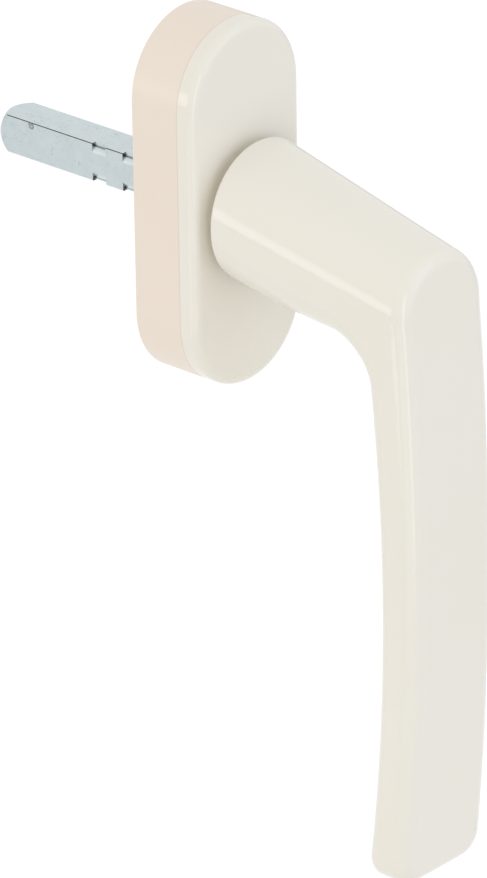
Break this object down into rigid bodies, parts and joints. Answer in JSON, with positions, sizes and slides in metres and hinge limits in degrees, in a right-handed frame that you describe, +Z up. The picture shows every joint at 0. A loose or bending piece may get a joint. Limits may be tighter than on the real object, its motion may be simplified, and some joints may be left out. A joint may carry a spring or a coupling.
{
  "type": "window handle",
  "caption": "Window handle with a hanging bowed lever, a tall oval rosette with base and lift-off cover, and a square spindle at the back.",
  "frame": {"origin": "on the spindle's axis, in the plane of the rosette's back face, midway between the two fixing holes", "axes": "+Z up along the rosette, lever hanging towards -Z; +Y into the window along the spindle; the user is at -Y"},
  "size_m": [0.0272, 0.1003, 0.1457],
  "materials": {
    "cream_coating": "smooth satin powder coat, cream",
    "base_plastic": "moulded plastic, warm cream",
    "zinc_steel": "bright zinc plating, bluish",
    "spring_steel": "blued spring steel",
    "bush_plastic": "white acetal",
    "cam_metal": "die-cast, as cast"
  },
  "bodies": {
    "rosette": {"rosette_base": "base_plastic", "bearing_bush": "bush_plastic", "detent_spring_left": "spring_steel", "detent_spring_right": "spring_steel", "retaining_plate": "zinc_steel", "plate_screws": "zinc_steel"},
    "lever": {"lever": "cream_coating", "spindle": "zinc_steel", "spindle_pin": "spring_steel", "detent_cam": "cam_metal", "retaining_ring": "spring_steel"},
    "cover": {"rosette_cover": "cream_coating"}
  },
  "joints": [
    {"name": "lever_turn", "type": "hinge", "parent": "rosette", "child": "lever", "pos_m": [0, 0, 0], "axis": [0, 1, 0], "continuous": true, "deforming": ["detent_spring_left", "detent_spring_right"]},
    {"name": "cover_lift", "type": "slide", "parent": "rosette", "child": "cover", "axis": [0, -1, 0], "range_m": [0, 0.002]}
  ]
}
